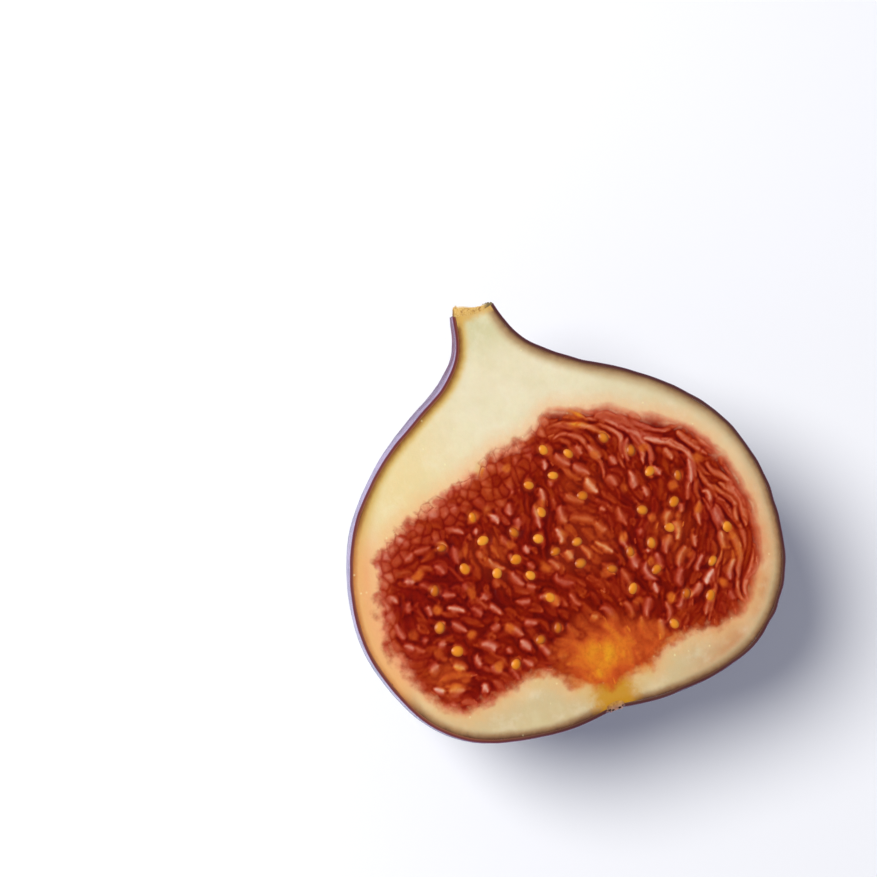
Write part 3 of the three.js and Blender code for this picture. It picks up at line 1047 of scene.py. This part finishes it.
# Golden brown where the stem tore, and blushing towards the pulp.
torn = total(cut, y_mm, scaled(cut, fleck, 1.2, -0.6), scaled(cut, x_mm, -0.15))
wall_mm = total(cut, given["Wall"], scaled(cut, noise(cut, spot, 0.75, 4, 0.65), 1.6, -0.8))
ripe = total(cut, given["Glow"], eased(cut, y_mm, -8, -14, 0, 0.4))
first_blush = over(cut, ripe, (234, 176, 122), (222, 176, 104))
full_blush = over(cut, ripe, (222, 122, 90), (218, 138, 66))

# Stained amber between the hollow and the eye.
EYE_STAIN = (-1.0, -19.0, 0)
stain = add_node(cut, "ShaderNodeVectorMath", {0: spot, 1: EYE_STAIN}, operation="DISTANCE")
stain = total(cut, stain.outputs["Value"], scaled(cut, fleck, 2.4, -1.2))
flesh_color = layered(
    cut, cream,
    (rind_cover, rind_color),
    (eased(cut, torn, 28.0, 29.2, 0, 0.85), (218, 174, 92)),
    (eased(cut, wall_mm, -3.0, -0.2, 0, 0.6), first_blush),
    (eased(cut, wall_mm, -1.0, 0.6, 0, 0.85), full_blush),
    (eased(cut, stain, 3.9, 1.3, 0, 0.9), (196, 138, 22)),
)

# The pulp itself: orange or rosy from its dark juice to its bright sacs, honey where it glows.
depth_of_tone = scaled(cut, given["Tone"], 0.74, 0.1)
orange = graded(
    cut, depth_of_tone,
    (0.02, (96, 6, 0)), (0.22, (130, 22, 0)), (0.40, (160, 52, 8)),
    (0.58, (190, 82, 28)), (0.76, (212, 114, 62)), (0.95, (232, 148, 98)),
)
rose = graded(
    cut, depth_of_tone,
    (0.02, (92, 2, 4)), (0.22, (128, 16, 4)), (0.40, (158, 44, 20)),
    (0.58, (186, 82, 60)), (0.76, (208, 128, 104)), (0.95, (228, 178, 156)),
)
honey = graded(
    cut, given["Tone"],
    (0.0, (160, 48, 14)), (0.3, (198, 84, 30)), (0.6, (216, 116, 32)), (0.9, (224, 152, 32)),
)
tinted = total(cut, given["Rosy"], eased(cut, noise(cut, spot, 0.16, 2), 0.3, 0.7, -0.2, 0.2))
inner_color = layered(
    cut, orange,
    (tinted, rose),
    (given["Glow"], honey),
    (eased(cut, noise(cut, spot, 2.6, 2), 0.4, 0.8, 0.0, 0.2), (110, 12, 4)),
)
raggedness = eased(cut, total(cut, x_mm, scaled(cut, y_mm, 0.5)), 4, 12, 0.45, 0.12)
bays = eased(cut, noise(cut, spot, 0.38, 2), 0.32, 0.68, -1.7, 1.7)
bays = times(cut, bays, eased(cut, y_mm, -10, -5, 0.2, 1))
edge = total(
    cut, given["Wall"], scaled(cut, given["Tone"], 0.9, -0.15), times(cut, raggedness, bays),
    times(cut, raggedness, eased(cut, noise(cut, spot, 0.9, 3), 0.2, 0.8, -1, 1)),
)
inside = eased(cut, edge, -0.55, 0.95)
vein = times(cut, eased(cut, given["Vein"], 0.1, 0.8), eased(cut, given["Wall"], -1.3, -0.1, 0, 0.75))
vein = times(cut, vein, eased(cut, given["Wall"], 1.2, 0.2))

# Tiny pale dots of latex and vessels in the flesh.
dot = eased(cut, cells(cut, spot, 0.85), 0.16, 0.04)
dot = times(cut, dot, eased(cut, noise(cut, spot, 0.5, 2), 0.52, 0.62, 0, 0.5))
dot = times(cut, dot, scaled(cut, inside, -1, 1.0))
done = cut.nodes.new("NodeGroupOutput").inputs
color = layered(cut, flesh_color, (inside, inner_color), (vein, (156, 52, 34)), (dot, (246, 234, 176)))
plug(cut, done["Color"], color)
plug(cut, done["Height"], total(cut, scaled(cut, fleck, 0.6), scaled(cut, dot, 0.4)))


def dress_cut(tree, shader, bump_depth):
    """Puts the cut face's colours on a material."""
    made = tree.nodes.new("ShaderNodeGroup")
    made.node_tree = cut
    plug(tree, made.inputs["Place"], object_place(tree))
    for name in MARKS:
        plug(tree, made.inputs[name], marked(tree, name.lower()))
    finish_surface(tree, shader, made.outputs["Color"], made.outputs["Height"], bump_depth)


def moist(shader, coat, coat_roughness, softness):
    """A wet skin of juice over flesh that lets a little light in."""
    shader.inputs["Coat Weight"].default_value = coat
    shader.inputs["Coat Roughness"].default_value = coat_roughness
    shader.inputs["Subsurface Weight"].default_value = softness
    shader.inputs["Subsurface Radius"].default_value = (1.0, 0.4, 0.2)
    shader.inputs["Subsurface Scale"].default_value = 0.0004
    shader.inputs["Specular IOR Level"].default_value = 0.12


dress_cut(tree, shader, 0.00005)
moist(shader, 0.15, 0.12, 0.15)
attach(pulp, "root")
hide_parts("pulp")


# ---- Seeds --------------------------------------------------------------------------------------
# Small hard amber seeds that the knife left bare, each a lens with a slight keel, held in the pulp
# with its flat side up and turned its own way.

SEED_LENGTH, SEED_WIDTH, SEED_HEIGHT = 2.1, 1.75, 1.3
PACKED_SEED_HEIGHT = 1.15  # of the plain seed that this one stands for
SEED_PROUD = 0.05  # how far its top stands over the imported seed's
seed_material, tree, shader = new_material("fig seed", 0.34)
place = object_place(tree)
amber = over(tree, eased(tree, noise(tree, place, 420, 2), 0.35, 0.65), (214, 122, 24), (232, 150, 44))
amber = over(tree, eased(tree, marked(tree, "ripe"), 0.55, 1.0, 0, 0.7), amber, (192, 92, 16))
amber = over(tree, eased(tree, marked(tree, "keel"), 0.6, 0.95), (150, 52, 6), amber)
finish_surface(tree, shader, amber, noise(tree, place, 3000, 2), 0.00003)
moist(shader, 0.12, 0.25, 0.0)
for name, middle, turn in seed_spots:
    bm = bmesh.new()
    bmesh.ops.create_uvsphere(bm, u_segments=24, v_segments=14, radius=0.5)
    seed = finished(name.replace("seed", "fig_seed"), bm, seed_material)
    ball = spots_of(seed.data)
    big, slim, ripe = between(0.88, 1.05), between(0.82, 1.02), between(0, 1)
    x = ball[:, 0] * SEED_LENGTH * big * (1 - 0.22 * ball[:, 0])
    y = ball[:, 1] * SEED_WIDTH * big * slim * (1 - 0.35 * ball[:, 0])
    z = ball[:, 2] * SEED_HEIGHT
    top = middle.z + PACKED_SEED_HEIGHT / 2 + SEED_PROUD
    spots = np.c_[
        middle.x + x * math.cos(turn) - y * math.sin(turn),
        middle.y + x * math.sin(turn) + y * math.cos(turn),
        top - SEED_HEIGHT / 2 + z,
    ]
    put_down(seed.data, spots)
    mark(seed.data, "keel", ball[:, 2] * 2 - 0.12 * ease(0.5, 1.0, ripe))
    mark(seed.data, "ripe", np.full(len(ball), ripe))
    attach(seed, "root")
    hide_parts(name)


# ---- Flesh --------------------------------------------------------------------------------------
# The pale wall of the fruit. Its cut face runs in rings from the pulp out to the peel; below it is
# an outer skin that lies against the peel and a bowl that the pulp fills.

FLESH_ROWS = 300  # along each side of the cut, eye to stem
FLESH_COLUMNS = 16  # round the hidden outside, rim to rim
MARGIN, MARGIN_RINGS = 2.2, 16  # the blushing margin has finer rings
FACE_RINGS = 44
BOWL_RINGS = 10
BOWL_CLEAR = 0.3  # how far the bowl's bottom is under the pulp's
UNDER_FACE = -0.02  # anything higher than this belongs to the cut face
HIDDEN_INSET = 0.75  # the hidden outside lies this much further in than the rim
FLESH_BOTTOM = 1.1  # how far it stays above the table
END_BULGE = 0.15  # how far its end stands out in the neck

bm = half_ball(FLESH_COLUMNS, FLESH_ROWS)
share, angle = ball_place(verts_of(bm), FLESH_ROWS)
at_stem = share > 1
share = np.minimum(share, 1)
skin = fruit_surface(share * share_of_stem_end, angle)
move_verts(bm, skin)
outward = outward_from(bm)
from_rim = np.minimum(-angle, math.pi + angle)
on_rim = (from_rim < 1e-4) | (share <= 0) | at_stem
outward[on_rim, 2] = 0
outward[share >= 1, 1] = 0
outward /= np.maximum(np.linalg.norm(outward, axis=1), 1e-6)[:, None]
inset = PEEL_THICK + HIDDEN_INSET * ease(0.0, 0.5, from_rim)
skin = skin - outward * inset[:, None]
stem_middle = skin[(share >= 1) & on_rim & ~at_stem].mean(0)
skin[at_stem] = stem_middle + np.array((0, END_BULGE, 0))
skin[:, 2] = np.maximum(skin[:, 2], REST_LEVEL + FLESH_BOTTOM)
skin[on_rim, 2] = 0
move_verts(bm, skin)
rim_spots = skin[on_rim]
turn = from_middle(rim_spots[:, 0], rim_spots[:, 1])[1]
order = np.argsort(turn)
rim_spots, turn = rim_spots[order], turn[order]

# The cut face and the bowl: a ball whose rows climb the bowl and then cross the face to the rim.
face_rows = BOWL_RINGS + FACE_RINGS
inner = bmesh.new()
bmesh.ops.create_uvsphere(inner, u_segments=len(turn), v_segments=face_rows + 1, radius=1)
open_pole(inner)
ball = verts_of(inner)
row = np.round((1 - np.arccos(np.clip(ball[:, 2], -1, 1)) / math.pi) * (face_rows + 1)).astype(int)
column = np.round((np.arctan2(ball[:, 1], ball[:, 0]) / (2 * math.pi) % 1) * len(turn)).astype(int)
column = column % len(turn)
reach = wall_reach(turn)[column]
climb = np.clip(row / BOWL_RINGS, 0, 1) * math.pi / 2
bowl = polar(reach * np.sin(climb), turn[column])
rim_reach = np.hypot(*(rim_spots[:, :2] - PULP_MIDDLE).T)[column]
ring = np.clip(row - BOWL_RINGS, 0, FACE_RINGS)
beyond_margin = rim_reach - reach - MARGIN
out_by = np.where(
    ring <= MARGIN_RINGS,
    MARGIN * ring / MARGIN_RINGS,
    MARGIN + beyond_margin * (ring - MARGIN_RINGS) / (FACE_RINGS - MARGIN_RINGS),
)
cross = (out_by / (rim_reach - reach))[:, None]
flat = bowl * (1 - cross) + rim_spots[column, :2] * cross
depth = -np.cos(climb) * (PULP_DEPTH + BOWL_CLEAR)
move_verts(inner, np.c_[flat, depth])
inner.normal_update()
turn_up(inner, [f for f in inner.faces if f.calc_center_median().z > UNDER_FACE])
inner_mesh = bpy.data.meshes.new("inner")
inner.to_mesh(inner_mesh)
inner.free()
bm.from_mesh(inner_mesh)
bpy.data.meshes.remove(inner_mesh)
bmesh.ops.remove_doubles(bm, verts=bm.verts[:], dist=1e-4)
for edge in bm.edges:
    on_face = all(v.co.z > UNDER_FACE for v in edge.verts)
    if on_face and any(min(v.co.z for v in f.verts) < UNDER_FACE for f in edge.link_faces):
        edge.smooth = False

flesh_material, tree, shader = new_material("fig flesh", 0.4)
flesh = finished("flesh_wall", bm, flesh_material)
spots = spots_of(flesh.data)
x, y = spots[:, 0], spots[:, 1]
mark_cut(flesh.data, x, y)
rind = nearest(x, y, outline) - PEEL_THICK
spots[:, 2] += (spots[:, 2] > UNDER_FACE) * knife_marks(x, y) * ease(0, 0.5, rind)
put_down(flesh.data, spots)
dress_cut(tree, shader, 0.00006)
moist(shader, 0.15, 0.25, 0.15)
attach(flesh, "root")
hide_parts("flesh")


# ---- Stem scar ----------------------------------------------------------------------------------
# Where the fruit was snapped off its twig: a dried plug that closes the neck, torn into short
# fibres at its end. The knife halved it with the fruit.

SCAR_DEPTH = 1.6  # how far it reaches down inside the neck
SCAR_ON_FACE = 0.5  # how far it runs down the cut face
SCAR_PROUD = 0.03  # how far it stands over the cut face
TORN = 0.4  # how far its fibres stand out of the neck
ends = np.array([edge_at(edge, np.array([share_of_stem_end]))[0] for edge in (RIGHT_EDGE, LEFT_EDGE)])
neck_middle, neck_half = ends.mean(0), (ends[0] - ends[1]) / 2
neck_width = np.hypot(*neck_half)
bm = bmesh.new()
bmesh.ops.create_uvsphere(bm, u_segments=96, v_segments=40, radius=1)
bmesh.ops.reverse_faces(bm, faces=bm.faces[:])  # laying the ball along the neck below mirrors it
scar_material, tree, shader = new_material("fig stem scar", 0.8)
scar = finished("stem_scar", bm, scar_material)
ball = spots_of(scar.data)
out = np.hypot(ball[:, 0], ball[:, 1])
fullness = np.minimum(1, out ** 0.45 * 0.97)
out = np.maximum(out, 1e-6)
u, w = ball[:, 0] / out * fullness, ball[:, 1] / out * fullness
along_neck = np.sign(ball[:, 2]) * np.abs(ball[:, 2]) ** 0.6
below = np.minimum(w, 0)  # the cut face is flat, so its fibres differ only across the neck
fibre = 0.55 * cloud(u * 5 + 40, below * 5 + 40, 0.55, 31)
fibre = fibre + 0.45 * cloud(u * 5 + 40, below * 5 + 40, 0.22, 32)
edge_of_scar = ease(0.55, 0.9, np.hypot(u, below))
# The torn end stands higher on the left.
raised = 0.95 * ease(0.4, -0.9, u) * (1 - 0.4 * ease(-0.7, -1.0, u)) - 0.2 * ease(0.5, 1.0, u)
height = np.where(
    along_neck > 0,
    along_neck * (raised + TORN * (0.2 + 0.8 * edge_of_scar) * (1 + 0.8 * fibre)),
    along_neck * (SCAR_ON_FACE + 0.08 * fibre + (SCAR_DEPTH - SCAR_ON_FACE) * ease(0.0, -0.25, w)),
)
level = np.where(w > 0, SCAR_PROUD * w + SCAR_PROUD, ROUNDNESS * neck_width * w)
level = level + 0.12 * np.minimum(along_neck, 0)
spots = np.c_[
    neck_middle[0] + neck_half[0] * u * (0.99 - 0.05 * ease(0.0, 0.5, along_neck) * (u < 0)),
    neck_middle[1] + neck_half[1] * u + height,
    level,
]
put_down(scar.data, spots)
mark(scar.data, "torn", along_neck)
mark(scar.data, "across", u)
strands = drawn_out(tree, "across", "torn", 0.25)
fine = noise(tree, strands, 13, 4, 0.7)
coarse = noise(tree, strands, 4.5, 3, 0.6)
tip = total(tree, marked(tree, "torn"), times(tree, fine, 0.4))
across_neck = marked(tree, "across")
color = layered(
    tree, (208, 158, 70),
    (eased(tree, fine, 0.35, 0.65), (232, 196, 118)),
    (eased(tree, coarse, 0.5, 0.68, 0, 0.7), (150, 94, 34)),
    (eased(tree, tip, 0.85, 1.1, 0, 0.9), (240, 226, 196)),
    (eased(tree, across_neck, -0.84, -0.96, 0, 0.8), (112, 78, 46)),
    (eased(tree, across_neck, 0.45, 0.8, 0, 0.9), (104, 92, 60)),
)
finish_surface(tree, shader, color, fine, 0.00002)
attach(scar, "root")


# ---- Eye scales ---------------------------------------------------------------------------------
# The small dried scales round the eye at the blossom end, overlapping in rings like petals. The
# knife passed through them and through the small amber plug of flesh that they close over.

SCALE_COUNT = 8
SCALE_RINGS = ((0.35, 0.75), (0.8, 1.0))  # each ring's radius and the size of its scales
PLUG_WIDTH, PLUG_THICK, PLUG_DEPTH = 1.15, 0.5, 1.2
CUT_PROUD = 0.03  # how far the cut scales stand over the cut face
eye = edge_at(RIGHT_EDGE, np.array([0.0]))[0]
scale_material, tree, shader = new_material("fig eye scale", 0.7)
bm = bmesh.new()
for ring, (radius, size) in enumerate(SCALE_RINGS):
    for number in range(SCALE_COUNT):
        turn = -math.pi * (number + 0.5 * ring + 0.1) / SCALE_COUNT
        made = bmesh.ops.create_uvsphere(bm, u_segments=12, v_segments=8, radius=0.5)["verts"]
        big = size * between(0.8, 1.15)
        for vert in made:
            x, y, z = vert.co
            lengthwise = radius + big * (z + 0.3)
            sideways = big * 0.8 * x * (1 - 0.8 * z)
            proud = 0.10 + 0.28 * y + 0.18 * z - 0.25 * (radius - 0.35)
            vert.co = (
                eye[0] + math.cos(turn) * lengthwise - math.sin(turn) * sideways,
                eye[1] - proud,
                math.sin(turn) * lengthwise + math.cos(turn) * sideways,
            )
for vert in bmesh.ops.create_uvsphere(bm, u_segments=24, v_segments=16, radius=1)["verts"]:
    x, y, z = vert.co
    vert.co = (eye[0] + PLUG_WIDTH * x, eye[1] + 0.32 + PLUG_THICK * y, PLUG_DEPTH * z)
parts = bm.verts[:] + bm.edges[:] + bm.faces[:]
bmesh.ops.bisect_plane(bm, geom=parts, plane_co=(0, 0, CUT_PROUD), plane_no=(0, 0, 1), clear_outer=True)
bmesh.ops.holes_fill(bm, edges=sharp_boundary(bm))
bmesh.ops.recalc_face_normals(bm, faces=bm.faces[:])
scales = finished("eye_scales", bm, scale_material)
spots = spots_of(scales.data)
put_down(scales.data, spots)
mark(scales.data, "inside", ease(-0.05, 0.25, spots[:, 1] - eye[1]))
mark(scales.data, "out", ease(0.2, 1.4, np.hypot(spots[:, 0] - eye[0], spots[:, 2])))
dry = noise(tree, object_place(tree), 1400, 4, 0.65)
# The plug's amber is dark, partly its own stain and partly painted shade of the eye's recess.
amber = over(tree, eased(tree, dry, 0.3, 0.7), (146, 92, 22), (196, 142, 52))
color = layered(
    tree, (150, 104, 84),
    (eased(tree, dry, 0.35, 0.65), (206, 164, 150)),
    (marked(tree, "out"), (86, 62, 84)),
    (marked(tree, "inside"), amber),
)
finish_surface(tree, shader, color, dry, 0.0001)
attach(scales, "root")
